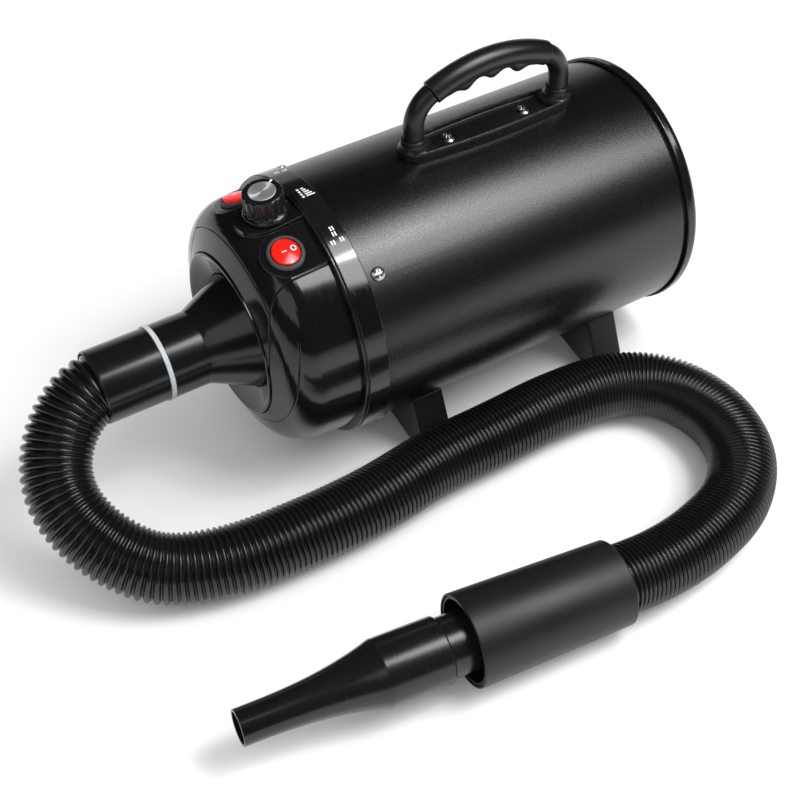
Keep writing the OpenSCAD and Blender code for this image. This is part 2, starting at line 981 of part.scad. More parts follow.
module handle_screws() {
    color("#c3c6c9")
        for (s = [-1, 1])
            on_wall(handle_y + s * handle_screw_gap, 90, recess_floor - handle_screw_well)
                pan_screw(handle_screw_r, 2.4, screw_r, 7);
}

module body_screws() {
    color("#c3c6c9")
        for (a = screw_angles)
            on_wall(screw_y, a, tube_r + 0.02)
                pan_screw(4.3, 2.4, screw_r, 7);
}

// ---------------------------------------------------------------- feet

// Cross-section of a foot: it hugs the drum and arches up between its two toes. With t it is
// the hollow inside a wall of that thickness, run past the underside.
module foot_section(t) {
    toe = pad_h - axis_h - (t > 0 ? 1 : 0);
    drop = t > 0 ? 3 : 0;
    side = [[30, -40], [66 - t * 1.1, -54], [foot_reach - t * 1.1, toe],
            [foot_reach - toe_w + t * 0.8, toe], [40, -88 - drop]];
    polygon(concat(side, [[0, -tube_r - foot_wall - 0.2 - drop]],
                   reversed([for (p = side) [-p[0], p[1]]])));
}

module foot(y) {
    color("#101112")
        difference() {
            body_frame()
                translate([0, y + foot_len, 0])
                    rotate([90, 0, 0])
                        linear_extrude(height = foot_len)
                            foot_section(0);
            difference() {
                body_frame()
                    translate([0, y + foot_len - foot_skin, 0])
                        rotate([90, 0, 0])
                            linear_extrude(height = foot_len - 2 * foot_skin)
                                foot_section(foot_skin);
                along_body(y - 10)
                    cylinder(h = foot_len + 20, r = tube_r + foot_wall);
                for (s = [-1, 1])
                    body_frame()
                        translate([s * (foot_reach - 7) - 12, y, pad_h - axis_h - 2])
                            cube([24, foot_len, 2 + foot_skin]);
            }
            along_body(y - 10)
                cylinder(h = foot_len + 20, r = tube_r + 0.02);
            for (a = foot_screw_angles)
                on_wall(y + foot_len / 2, a, tube_r - 10)
                    cylinder(h = 20, r = screw_r + 0.05);
        }
}

module foot_front() {
    foot(foot_ys[0]);
}

module foot_rear() {
    foot(foot_ys[1]);
}

module foot_pads() {
    color("#1a1a1a")
        for (y = foot_ys)
            for (s = [-1, 1])
                body_frame()
                    translate([s * (foot_reach - 6.5) - pad_w / 2, y + 2.5, -axis_h])
                        cube([pad_w, foot_len - 5, pad_h]);
}

module foot_screws() {
    color("#8f9294")
        for (y = foot_ys)
            for (a = foot_screw_angles)
                on_wall(y + foot_len / 2, a, tube_r + foot_wall + 0.05)
                    pan_screw(3.4, 1.8, screw_r, 5.2);
}

// ---------------------------------------------------------------- rear

// Rounded ring behind the drum, with a spigot inside the drum and a cross that backs the filter
module rear_bezel() {
    y0 = bezel_y - rear_gap - rear_spigot;
    y1 = bezel_y + bezel_len;
    color("#0e0f10") {
        along_body()
            rotate_extrude($fn = 128)
                polygon(concat(
                    [[spigot_in, y0], [spigot_r, y0], [spigot_r, bezel_y], [bezel_r - 1, bezel_y]],
                    arc([bezel_r - 1, bezel_y + 1], 1, -90, 0, 4),
                    arc([bezel_r - 5, y1 - 5], 5, 0, 90, 8),
                    [[bezel_in, y1], [bezel_in, y1 - 12.5], [bezel_in - 4, y1 - 12.5],
                     [bezel_in - 4, y1 - 15], [spigot_in, y1 - 15]]));
        for (a = [0, 90])
            body_frame()
                rotate([0, a, 0])
                    translate([-bezel_in + 3, y1 - 15, -1.5])
                        cube([2 * bezel_in - 6, 2.5, 3]);
    }
}

// Round grille of rings and spokes that pulls out with the filter
module rear_grille() {
    y0 = bezel_y + bezel_len - 4;
    spokes = 8;
    color("#131416") {
        pipe(y0, y0 + 4, bezel_in - 0.1, bezel_in - 5);
        for (r = [12 : 7 : 68])
            pipe(y0, y0 + 2.5, r + 3.4, r);
        along_body(y0)
            cylinder(h = 2.5, r = 9);
        for (i = [0 : spokes - 1])
            along_body(y0)
                rotate([0, 0, 360 * i / spokes])
                    translate([7, -1.5, 0])
                        cube([bezel_in - 10, 3, 2.5]);
        for (s = [-1, 1])
            along_body(y0)
                translate([s * 5 - 1.5, -6, 0])
                    cube([3, 12, 5.5]);
    }
}

module filter_foam() {
    color("#45474a")
        along_body(bezel_y + bezel_len - 12.2)
            cylinder(h = 8, r = bezel_in - 0.6);
}

// Bush through the drum's wall for a round mains lead of 7 mm
module cord_gland() {
    color("#0f1011")
        on_wall(gland_y, gland_angle, tube_r)
            difference() {
                union() {
                    translate([0, 0, 0.3])
                        cylinder(h = 3, r = 9.5);
                    translate([0, 0, 3.2])
                        cylinder(h = 6, r1 = 7.6, r2 = 6.2);
                    translate([0, 0, -10])
                        cylinder(h = 11, r = gland_neck_r);
                }
                translate([0, 0, -11])
                    cylinder(h = 30, r = gland_bore_r);
            }
}

module gland_nut() {
    color("#1c1d1f")
        on_wall(gland_y, gland_angle, tube_r)
            translate([0, 0, -tube_wall - 6.6])
                difference() {
                    cylinder(h = 5.5, r = 9, $fn = 6);
                    translate([0, 0, -1])
                        cylinder(h = 8, r = gland_neck_r + 0.02);
                }
}

// ---------------------------------------------------------------- inside the drum

module sound_foam() {
    color("#3c3d40")
        difference() {
            pipe(bulkhead_y + 10, 200, spigot_r - 0.8, 72);
            on_wall(gland_y, gland_angle, tube_r - 20)
                cylinder(h = 30, r = 13);
        }
}

module bulkhead() {
    color("#8d9093")
        pipe(bulkhead_y, bulkhead_y + bulkhead_t, spigot_r - 0.2, 50);
}

module bulkhead_gasket() {
    color("#1a1a1a")
        pipe(bulkhead_y + bulkhead_t, fan_y, fan_r + 4, 50);
}

// Cup that holds the two fan stages, open to the filter at its rear
module fan_housing() {
    vents = 8;
    color("#a6a9ac")
        along_body(fan_y)
            difference() {
                union() {
                    cylinder(h = fan_len, r = fan_r);
                    cylinder(h = 2, r = fan_r + 3.5);
                }
                translate([0, 0, 2])
                    cylinder(h = fan_len - 4, r = fan_r - 2);
                translate([0, 0, 10])
                    cylinder(h = fan_len, r = eye_r + 2);
                translate([0, 0, -1])
                    cylinder(h = 10, r = motor_shaft_r + 1.5);
                for (i = [0 : vents - 1])
                    rotate([0, 0, 360 * i / vents])
                        translate([33, 0, -1])
                            cylinder(h = 5, r = 5);
            }
}

// Fixed plate with guide vanes between the two stages
module fan_diffuser() {
    y0 = bulkhead_y + 23;
    vanes = 9;
    color("#c0b48a") {
        pipe(y0, y0 + 1.5, fan_r - 2.2, 12);
        for (i = [0 : vanes - 1])
            along_body(y0 - 3)
                rotate([0, 0, 360 * i / vanes])
                    translate([20, 0, 0])
                        rotate([0, 0, 25])
                            cube([30, 1.2, 3]);
    }
}

// One fan stage: two discs with curved vanes between them
module impeller(y) {
    gap = 8;
    vanes = 7;
    along_body(y) {
        difference() {
            cylinder(h = 1, r = impeller_r);
            translate([0, 0, -eps])
                cylinder(h = 3, r = motor_shaft_r);
        }
        difference() {
            translate([0, 0, gap + 1])
                cylinder(h = 1, r = impeller_r);
            translate([0, 0, gap])
                cylinder(h = 3, r = eye_r);
        }
        difference() {
            cylinder(h = gap, r = hub_r);
            translate([0, 0, -eps])
                cylinder(h = gap + 2 * eps, r = motor_shaft_r);
        }
        for (i = [0 : vanes - 1])
            rotate([0, 0, 360 * i / vanes])
                vane(gap);
    }
}

// Curved blade that overlaps the discs on both sides by half their thickness
module vane(gap) {
    bow = 32;
    intersection() {
        translate([38, -22, 0.5])
            difference() {
                cylinder(h = gap + 1, r = bow);
                translate([0, 0, -eps])
                    cylinder(h = gap + 2, r = bow - 1);
            }
        difference() {
            cylinder(h = gap + 2, r = impeller_r - 1);
            translate([0, 0, -eps])
                cylinder(h = gap + 3, r = eye_r + 2);
        }
        cube([60, 60, gap + 2]);
    }
}

module impellers() {
    color("#b8bbbe") {
        impeller(bulkhead_y + 9);
        impeller(bulkhead_y + 27);
    }
}

// Shaft, armature and commutator turn as one piece
module rotor() {
    y0 = motor_y - 10;
    color("#7c6a4a")
        along_body() {
            translate([0, 0, y0])
                cylinder(h = bulkhead_y + 40 - y0, r = motor_shaft_r);
            translate([0, 0, stator_y - 1])
                cylinder(h = stator_len + 2, r = stator_bore - 0.6);
            translate([0, 0, motor_y + 5])
                cylinder(h = 8, r = 12);
        }
}

// Cage of the motor, with a bearing at each end and windows for the air
module motor_frame() {
    y1 = fan_y - 0.1;
    color("#9da0a3")
        along_body()
            difference() {
                union() {
                    translate([0, 0, motor_y])
                        cylinder(h = y1 - motor_y, r = motor_r);
                    translate([0, 0, motor_y - 8])
                        cylinder(h = 10, r = bearing_boss_r);
                }
                translate([0, 0, motor_y + 3])
                    cylinder(h = y1 - motor_y - 6, r = motor_r - 2.5);
                translate([0, 0, motor_y - 20])
                    cylinder(h = 120, r = motor_shaft_r + bearing_gap);
                for (i = [0 : 3])
                    rotate([0, 0, 90 * i + 45]) {
                        translate([26, 0, motor_y - 2])
                            cylinder(h = 8, r = 8);
                        translate([33, 0, y1 - 5])
                            cylinder(h = 8, r = 5);
                    }
            }
}

module stator() {
    color("#6d5136")
        pipe(stator_y, stator_y + stator_len, motor_r - 2.6, stator_bore);
}

// Steel arms that carry the motor's front end from the drum, each with a foot against the wall
module motor_spider() {
    y0 = motor_y - 7;
    arm_w = 12;
    arm_t = 3;
    color("#85888b")
        difference() {
            union() {
                pipe(y0, y0 + arm_t, 24, spider_r);
                for (i = [0 : spider_arms - 1])
                    along_body(y0)
                        rotate([0, 0, 360 * i / spider_arms + 30]) {
                            translate([20, -arm_w / 2, 0])
                                cube([61, arm_w, arm_t]);
                            translate([80.2, -arm_w / 2, 0])
                                cube([arm_t, arm_w, 12]);
                        }
            }
            along_body(y0 - 5)
                cylinder(h = 20, r = spider_r);
        }
}

module spider_grommet() {
    color("#161616")
        pipe(motor_y - 8, motor_y - 1, spider_r - 0.1, bearing_boss_r + 0.1);
}

// Crossed insulating plates that stand on the duct's flange and carry the heating wire
module heater_frame() {
    color("#c9bfa0")
        along_body(heater_y)
            difference() {
                union() {
                    translate([-heater_half, -mica_t / 2, 0])
                        cube([2 * heater_half, mica_t, heater_len]);
                    translate([-mica_t / 2, -heater_half, 0])
                        cube([mica_t, 2 * heater_half, heater_len]);
                }
                for (i = [0 : coil_turns - 1])
                    translate([0, 0, coil_y - heater_y + coil_pitch * i])
                        coil_ring(coil_wire_r + 0.1);
            }
}

module coil_ring(r) {
    rotate_extrude($fn = 96)
        translate([coil_r, 0])
            circle(r = r, $fn = 24);
}

module heater_coil() {
    color("#a88a6a")
        for (i = [0 : coil_turns - 1])
            along_body(coil_y + coil_pitch * i)
                coil_ring(coil_wire_r);
}

body_tube();
front_band();
front_housing();
control_deck();
outlet_collar();
outlet_duct();
hose_adapter();
seal_ring();
hose_cuff();
air_hose();
grip_tube();
grip_sleeve();
nozzle();
speed_knob();
knob_cap();
pot_shaft();
pot_body();
rocker_left();
rocker_right();
switch_left();
switch_right();
control_board();
board_parts();
handle_base();
handle_arms();
handle_grip();
handle_screws();
body_screws();
foot_front();
foot_rear();
foot_pads();
foot_screws();
rear_bezel();
rear_grille();
filter_foam();
cord_gland();
gland_nut();
sound_foam();
bulkhead();
bulkhead_gasket();
fan_housing();
fan_diffuser();
impellers();
rotor();
motor_frame();
stator();
motor_spider();
spider_grommet();
heater_frame();
heater_coil();
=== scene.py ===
"""Looks of the pet dryer: every length is in metres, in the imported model's own frame."""
import math

import bmesh
import bpy
from mathutils import Matrix, Vector


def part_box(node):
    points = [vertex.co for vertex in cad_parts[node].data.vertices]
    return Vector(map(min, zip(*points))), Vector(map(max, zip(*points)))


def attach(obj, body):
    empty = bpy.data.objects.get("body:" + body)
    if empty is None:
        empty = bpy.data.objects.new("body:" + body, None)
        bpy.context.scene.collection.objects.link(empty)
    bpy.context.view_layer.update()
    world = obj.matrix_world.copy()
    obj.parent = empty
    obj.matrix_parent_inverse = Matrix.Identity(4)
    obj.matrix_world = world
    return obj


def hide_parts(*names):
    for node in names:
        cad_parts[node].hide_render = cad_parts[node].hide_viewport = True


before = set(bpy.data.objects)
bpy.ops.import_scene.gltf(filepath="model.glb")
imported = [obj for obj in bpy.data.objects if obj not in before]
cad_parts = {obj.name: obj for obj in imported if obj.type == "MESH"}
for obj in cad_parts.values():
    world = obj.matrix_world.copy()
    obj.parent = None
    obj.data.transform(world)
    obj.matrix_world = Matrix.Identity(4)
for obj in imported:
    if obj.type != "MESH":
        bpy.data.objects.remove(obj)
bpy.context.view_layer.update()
MM = 0.001

# ---------------------------------------------------------------- where things are
_lo, _hi = (Vector(c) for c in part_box("body_tube"))
TUBE_R = 85 * MM
BAND_R = TUBE_R + 1.9 * MM
BODY_X, BODY_Y, AXIS_Z = (_lo.x + _hi.x) / 2, _lo.y, _hi.z - TUBE_R


def along(x, y, z):
    """A point in the drum's frame, in mm: X across, Y back from the drum's front edge, Z up from its axis."""
    return Vector((BODY_X + x * MM, BODY_Y + y * MM, AXIS_Z + z * MM))


# ---------------------------------------------------------------- camera
AZIMUTH, ELEVATION = 58.09, 45.54
cam_data = bpy.data.cameras.new("camera")
cam_data.lens = 67.55
cam_data.sensor_width = 36
cam_data.clip_end = 20
camera = bpy.data.objects.new("camera", cam_data)
bpy.context.scene.collection.objects.link(camera)
camera.location = (0.5494, -0.3696, 0.7393)
camera.rotation_euler = (math.radians(90 - ELEVATION), 0, math.radians(AZIMUTH))
bpy.context.scene.camera = camera


# ---------------------------------------------------------------- node helpers
MIX_A, MIX_B, MIX_RESULT = 6, 7, 2  # the Mix node's colour sockets
# Pale colour of polished edges: partly wear, partly a painted edge highlight.
PALE_EDGE_WEAR_AND_HIGHLIGHT = (0.16, 0.16, 0.165)
WORN_MATTE = (0.15, 0.15, 0.15)


class Shader:
    """A Principled material and short calls that add nodes to it."""

    def __init__(self, name, base, rough, **sockets):
        self.mat = bpy.data.materials.new(name)
        self.mat.use_nodes = True
        self.tree = self.mat.node_tree
        self.bsdf = self.tree.nodes["Principled BSDF"]
        self.bsdf.inputs["Base Color"].default_value = (*base, 1)
        self.bsdf.inputs["Roughness"].default_value = rough
        for key, value in sockets.items():
            self.bsdf.inputs[key.replace("_", " ")].default_value = value
        self.coords = self.node("ShaderNodeTexCoord").outputs["Object"]
        self.normal = None

    def node(self, kind, **props):
        n = self.tree.nodes.new(kind)
        for key, value in props.items():
            setattr(n, key, value)
        return n

    def link(self, a, b):
        self.tree.links.new(a, b)

    def scaled(self, sx, sy, sz):
        """Coordinates stretched along each axis."""
        m = self.node("ShaderNodeMapping")
        m.inputs["Scale"].default_value = (sx, sy, sz)
        self.link(self.coords, m.inputs["Vector"])
        return m.outputs["Vector"]

    def noise(self, scale, detail, rough, vector=None):
        n = self.node("ShaderNodeTexNoise")
        n.inputs["Scale"].default_value = scale
        n.inputs["Detail"].default_value = detail
        n.inputs["Roughness"].default_value = rough
        self.link(vector or self.coords, n.inputs["Vector"])
        return n.outputs["Fac"]

    def voronoi(self, scale, feature="F1"):
        n = self.node("ShaderNodeTexVoronoi", feature=feature)
        n.inputs["Scale"].default_value = scale
        self.link(self.coords, n.inputs["Vector"])
        return n.outputs["Distance"]

    def span(self, value, a, b, low=0.0, high=1.0):
        """Maps a to low and b to high, clamped."""
        n = self.node("ShaderNodeMapRange", clamp=True)
        for key, v in zip(("From Min", "From Max", "To Min", "To Max"), (a, b, low, high)):
            n.inputs[key].default_value = v
        self.link(value, n.inputs["Value"])
        return n.outputs["Result"]

    def math(self, op, a, b):
        n = self.node("ShaderNodeMath", operation=op)
        for i, v in enumerate((a, b)):
            if isinstance(v, (int, float)):
                n.inputs[i].default_value = v
            else:
                self.link(v, n.inputs[i])
        return n.outputs[0]

    def blend(self, fac, a, b):
        """Mixes two colours, each a tuple or a socket."""
        n = self.node("ShaderNodeMix", data_type="RGBA")
        self.link(fac, n.inputs[0])
        for i, v in ((MIX_A, a), (MIX_B, b)):
            if isinstance(v, tuple):
                n.inputs[i].default_value = (*v, 1)
            else:
                self.link(v, n.inputs[i])
        return n.outputs[MIX_RESULT]

    def bump(self, height, strength, distance):
        n = self.node("ShaderNodeBump")
        n.inputs["Strength"].default_value = strength
        n.inputs["Distance"].default_value = distance
        self.link(height, n.inputs["Height"])
        if self.normal:
            self.link(self.normal, n.inputs["Normal"])
        self.normal = n.outputs["Normal"]

    def edges(self, radius):
        """Softened normals at sharp edges, and a mask that is 1 on those edges."""
        bevel = self.node("ShaderNodeBevel", samples=4)
        bevel.inputs["Radius"].default_value = radius
        geo = self.node("ShaderNodeNewGeometry")
        dot = self.node("ShaderNodeVectorMath", operation="DOT_PRODUCT")
        self.link(bevel.outputs["Normal"], dot.inputs[0])
        self.link(geo.outputs["Normal"], dot.inputs[1])
        self.normal = bevel.outputs["Normal"]
        return self.span(dot.outputs["Value"], 0.985, 0.80)

    def colour(self, socket):
        self.link(socket, self.bsdf.inputs["Base Color"])

    def roughness(self, socket):
        self.link(socket, self.bsdf.inputs["Roughness"])

    def done(self):
        if self.normal:
            self.link(self.normal, self.bsdf.inputs["Normal"])
        return self.mat


def lighter(c, k):
    return tuple(min(1.0, v * k) for v in c)


def gloss_plastic(name, base, rough=0.09, wear=0.35, haze=0.10, waviness=0.02, **sockets):
    """Polished moulding: faint flow waves, dust haze, hairline scuffs and paler edges that are partly wear and
    partly a painted edge highlight.
    """
    s = Shader(name, base, rough, IOR=1.5, **sockets)
    edge = s.edges(0.7 * MM)
    cloud = s.noise(9, 4, 0.6)
    fine = s.noise(420, 3, 0.7)
    scuff = s.noise(60, 5, 0.75, s.scaled(1, 7, 1))
    scuffs = s.span(scuff, 0.60, 0.74)
    worn = s.math("MULTIPLY", edge, s.span(s.noise(70, 4, 0.6), 0.35, 0.7))
    tint = s.blend(s.span(cloud, 0.3, 0.75), base, lighter(base, 1.7))
    tint = s.blend(s.math("MULTIPLY", scuffs, 0.25), tint, lighter(base, 4.0))
    # Paler edges: partly wear, partly a painted edge highlight.
    s.colour(s.blend(s.math("MULTIPLY", worn, wear), tint, PALE_EDGE_WEAR_AND_HIGHLIGHT))
    r = s.math("ADD", s.span(cloud, 0.25, 0.8, rough, rough + haze), s.math("MULTIPLY", scuffs, 0.16))
    s.roughness(s.math("ADD", r, s.math("MULTIPLY", fine, 0.03)))
    s.bump(s.noise(28, 2, 0.4), waviness, 2 * MM)
    s.bump(fine, 0.012, 0.2 * MM)
    return s.done()


def matte_plastic(name, base, rough=0.42, grain=900, depth=0.25, wear=0.3):
    """Spark-eroded moulding: a fine leathery grain, handling polish and paler worn edges."""
    s = Shader(name, base, rough, IOR=1.48)
    edge = s.edges(0.8 * MM)
    cell = s.voronoi(grain)
    cloud = s.noise(14, 4, 0.6)
    worn = s.math("MULTIPLY", edge, s.span(s.noise(90, 4, 0.6), 0.4, 0.7))
    tint = s.blend(s.span(cloud, 0.3, 0.75), lighter(base, 0.8), lighter(base, 1.5))
    tint = s.blend(s.span(cell, 0.0, 0.9, 0.0, 0.35), tint, lighter(base, 2.2))
    s.colour(s.blend(s.math("MULTIPLY", worn, wear), tint, WORN_MATTE))
    r = s.span(cloud, 0.25, 0.8, rough - 0.07, rough + 0.10)
    s.roughness(s.math("ADD", r, s.math("MULTIPLY", cell, 0.08)))
    s.bump(cell, depth, 0.12 * MM)
    return s.done()


def powder_coat(name, base, rough=0.36):
    """Sandy powder coat: fine grit in the bump with its specks painted paler as painted glints, faint wipe
    marks and a few scuffs.
    """
    s = Shader(name, base, rough, IOR=1.5)
    sand = s.noise(1250, 4, 0.62)
    grit_bump_and_glints = s.voronoi(2300)
    cloud = s.noise(7, 4, 0.6)
    wipe = s.noise(16, 4, 0.7, s.scaled(1, 0.12, 1))
    scuffs = s.span(s.noise(75, 6, 0.75, s.scaled(1, 4, 1)), 0.68, 0.76)
    tint = s.blend(s.span(cloud, 0.3, 0.75), lighter(base, 0.8), lighter(base, 1.3))
    # Paler specks on the grit: painted glints.
    tint = s.blend(s.span(grit_bump_and_glints, 0.0, 0.45, 0.5, 0.0), tint, lighter(base, 2.6))
    s.colour(s.blend(s.math("MULTIPLY", scuffs, 0.35), tint, lighter(base, 3.0)))
    r = s.math("ADD", s.span(wipe, 0.3, 0.7, rough - 0.03, rough + 0.05), s.span(sand, 0.3, 0.7, -0.05, 0.07))
    s.roughness(r)
    s.bump(sand, 0.34, 0.14 * MM)
    s.bump(grit_bump_and_glints, 0.22, 0.07 * MM)
    return s.done()


def soft_rubber(name, base, rough=0.62, grain=1100):
    """Matte rubber with a dusty bloom and a fine pebble."""
    s = Shader(name, base, rough, IOR=1.45)
    edge = s.edges(0.8 * MM)
    pebble = s.noise(grain, 3, 0.6)
    bloom = s.noise(12, 5, 0.65)
    streak = s.noise(30, 4, 0.7, s.scaled(1, 0.15, 1))
    tint = s.blend(s.span(bloom, 0.3, 0.75), lighter(base, 0.85), lighter(base, 1.35))
    tint = s.blend(s.span(streak, 0.5, 0.8, 0.0, 0.3), tint, lighter(base, 1.9))
    s.colour(s.blend(s.math("MULTIPLY", edge, 0.30), tint, lighter(base, 3.0)))
    r = s.span(bloom, 0.25, 0.8, rough - 0.06, rough + 0.08)
    s.roughness(s.math("ADD", r, s.math("MULTIPLY", pebble, 0.05)))
    s.bump(pebble, 0.25, 0.12 * MM)
    return s.done()


def metal(name, base, rough, brush=None, bumpiness=0.05):
    """Plated or bare metal; brush is the stretch of its grain along X, Y and Z."""
    s = Shader(name, base, rough, Metallic=1.0)
    edge = s.edges(0.4 * MM)
    grain = s.noise(900, 3, 0.6, s.scaled(*brush) if brush else None)
    stain = s.noise(60, 4, 0.65)
    tint = s.blend(s.span(stain, 0.35, 0.75), base, lighter(base, 0.72))
    s.colour(s.blend(s.math("MULTIPLY", edge, 0.4), tint, lighter(base, 1.3)))
    r = s.span(stain, 0.3, 0.8, rough - 0.03, rough + 0.09)
    s.roughness(s.math("ADD", r, s.math("MULTIPLY", grain, 0.1)))
    s.bump(grain, bumpiness, 0.05 * MM)
    return s.done()


def foam(name, base):
    """Open-cell foam: pores painted darker as painted shade, between lighter struts."""
    s = Shader(name, base, 0.95)
    pores = s.voronoi(520, "DISTANCE_TO_EDGE")
    cloud = s.noise(30, 4, 0.6)
    tint = s.blend(s.span(cloud, 0.3, 0.75), lighter(base, 0.8), lighter(base, 1.3))
    # Darker pore hollows: painted shade in the recesses.
    s.colour(s.blend(s.span(pores, 0.0, 0.16, 0.0, 0.8), tint, lighter(base, 0.25)))
    s.bump(pores, 0.8, 0.8 * MM)
    return s.done()


def spun_disc(name, base):
    """Turned aluminium: fine rings round the piece's own Z axis, which stretch the reflections."""
    s = Shader(name, base, 0.36, Metallic=0.8, Anisotropic=0.9)
    tangent = s.node("ShaderNodeTangent", direction_type="RADIAL", axis="Z")
    s.link(tangent.outputs["Tangent"], s.bsdf.inputs["Tangent"])
    radius = s.node("ShaderNodeVectorMath", operation="LENGTH")
    s.link(s.scaled(1, 1, 0), radius.inputs[0])
    rings = s.noise(2600, 4, 0.7, radius.outputs["Value"])
    stain = s.noise(160, 4, 0.6)
    s.colour(s.blend(s.span(rings, 0.3, 0.7), lighter(base, 0.82), lighter(base, 1.1)))
    s.roughness(s.math("ADD", s.span(stain, 0.3, 0.7, 0.38, 0.46), s.math("MULTIPLY", rings, 0.06)))
    s.bump(rings, 0.12, 0.04 * MM)
    return s.done()


def painted_mark(name, base):
    """Pad-printed ink: slightly uneven and a little worn."""
    s = Shader(name, base, 0.45)
    worn = s.noise(900, 4, 0.7)
    s.colour(s.blend(s.span(worn, 0.55, 0.8, 0.0, 0.5), base, lighter(base, 0.55)))
    s.roughness(s.span(worn, 0.3, 0.8, 0.38, 0.6))
    s.bump(worn, 0.1, 0.05 * MM)
    return s.done()


BLACK = (0.0045, 0.0046, 0.0048)
MATS = {
    "drum": powder_coat("drum_coat", (0.0032, 0.0033, 0.0035), 0.27),
    "front": gloss_plastic("front_gloss", BLACK, 0.075),
    "outlet": gloss_plastic("outlet_gloss", BLACK, 0.12, haze=0.12),
    "hose": gloss_plastic("hose_gloss", (0.005, 0.005, 0.0053), 0.12, wear=0.1, haze=0.08),
    "ring": matte_plastic("seal_grey", (0.34, 0.36, 0.38), 0.45, depth=0.1, wear=0.1),
    "sleeve": soft_rubber("sleeve_rubber", (0.0062, 0.0065, 0.007), 0.42),
    "rubber": soft_rubber("pad_rubber", (0.02, 0.02, 0.02), 0.7),
    "knob": gloss_plastic("knob_gloss", BLACK, 0.16),
    "cap": spun_disc("knob_disc", (0.60, 0.61, 0.63)),
    "steel": metal("bare_steel", (0.42, 0.42, 0.43), 0.34),
    "zinc": metal("zinc_sheet", (0.5, 0.5, 0.48), 0.42),
    "alu": metal("aluminium", (0.62, 0.63, 0.64), 0.36),
    "screw": metal("bright_screw", (0.66, 0.67, 0.69), 0.20),
    # The rocker red carries a faint emission: a painted glow standing in for light shining through the
    # translucent red plastic.
    "red": gloss_plastic("rocker_red", (0.62, 0.008, 0.004), 0.12, wear=0.0, haze=0.06,
                         **{"Emission Color": (0.6, 0.01, 0.005, 1), "Emission Strength": 0.06}),
    "red_deep": gloss_plastic("rocker_red_deep", (0.25, 0.004, 0.002), 0.3, wear=0.0),
    "grey": matte_plastic("switch_grey", (0.030, 0.031, 0.033), 0.40, depth=0.12),
    "handle": matte_plastic("handle_black", (0.0045, 0.0046, 0.005), 0.27, depth=0.06, wear=0.15),
    "feet": matte_plastic("foot_black", (0.005, 0.005, 0.0053), 0.38, depth=0.10, wear=0.15),
    "grille": matte_plastic("grille_black", (0.012, 0.012, 0.013), 0.45),
    "foam": foam("filter_foam", (0.045, 0.047, 0.05)),
    "board": matte_plastic("circuit_green", (0.01, 0.09, 0.03), 0.35, depth=0.05),
    "dark": matte_plastic("dark_mould", (0.03, 0.03, 0.032), 0.5),
    "mica": matte_plastic("mica_board", (0.42, 0.33, 0.2), 0.55, grain=300),
    "copper": metal("winding", (0.45, 0.2, 0.09), 0.4, brush=(8, 0.5, 8)),
    "white": painted_mark("white_print", (0.72, 0.73, 0.74)),
}
NODE_MATS = {
    "body_tube": "drum", "front_band": "front", "front_housing": "front", "outlet_collar": "front",
    "control_deck": "front", "outlet_duct": "dark", "hose_adapter": "outlet", "seal_ring": "ring",
    "hose_cuff": "outlet", "air_hose": "hose", "grip_tube": "outlet", "grip_sleeve": "sleeve",
    "nozzle": "outlet", "speed_knob": "knob", "knob_cap": "cap", "pot_shaft": "steel", "pot_body": "grey",
    "rocker_left": "red", "rocker_right": "red", "switch_left": "grey", "switch_right": "grey",
    "control_board": "board", "board_parts": "dark", "handle_base": "handle", "handle_arms": "handle",
    "handle_grip": "handle", "handle_screws": "screw", "body_screws": "screw", "foot_front": "feet",
    "foot_rear": "feet", "foot_pads": "rubber", "foot_screws": "screw", "rear_bezel": "front",
    "rear_grille": "grille", "filter_foam": "foam", "cord_gland": "rubber", "gland_nut": "dark",
    "sound_foam": "foam", "bulkhead": "zinc", "bulkhead_gasket": "rubber", "fan_housing": "zinc",
    "fan_diffuser": "alu", "impellers": "alu", "rotor": "steel", "motor_frame": "alu", "stator": "copper",
    "motor_spider": "zinc", "spider_grommet": "rubber", "heater_frame": "mica", "heater_coil": "copper",
}


def paint(obj, mat):
    obj.data.materials.clear()
    obj.data.materials.append(mat)


def cad_object(node):
    return bpy.data.objects[node]


# ---------------------------------------------------------------- mesh helpers
def mesh_object(name, verts, faces, mat, body="dryer", smooth=True):
    me = bpy.data.meshes.new(name)
    me.from_pydata([tuple(v) for v in verts], [], faces)
    me.validate()
    me.polygons.foreach_set("use_smooth", [smooth] * len(me.polygons))
    obj = bpy.data.objects.new(name, me)
    bpy.context.scene.collection.objects.link(obj)
    obj.data.materials.append(mat)
    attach(obj, body)
    return obj


def closed_outward(obj):
    """Turns every face of a closed piece outwards."""
    bm = bmesh.new()
    bm.from_mesh(obj.data)
    bmesh.ops.recalc_face_normals(bm, faces=bm.faces)
    bm.to_mesh(obj.data)
    bm.free()
    return obj


def slab(point, a, b, cells=(1, 1), high=0.10, low=-0.12):
    """A thin closed patch over ranges a and b of a surface; a full turn of a, in degrees, closes on itself."""
    na, nb = cells
    turn = a[1] - a[0] == 360
    cols = na if turn else na + 1
    verts = [point(a[0] + (a[1] - a[0]) * i / na, b[0] + (b[1] - b[0]) * j / nb, h)
             for h in (low, high) for i in range(cols) for j in range(nb + 1)]
    top = cols * (nb + 1)

    def at(i, j, level):
        return level * top + (i % cols) * (nb + 1) + j

    faces = []
    for i in range(na):
        for j in range(nb):
            for level in (0, 1):
                faces.append((at(i, j, level), at(i + 1, j, level),
                              at(i + 1, j + 1, level), at(i, j + 1, level)))
        for j in (0, nb):
            faces.append((at(i, j, 0), at(i + 1, j, 0), at(i + 1, j, 1), at(i, j, 1)))
    if not turn:
        for i in (0, na):
            for j in range(nb):
                faces.append((at(i, j, 0), at(i, j + 1, 0), at(i, j + 1, 1), at(i, j, 1)))
    return verts, faces


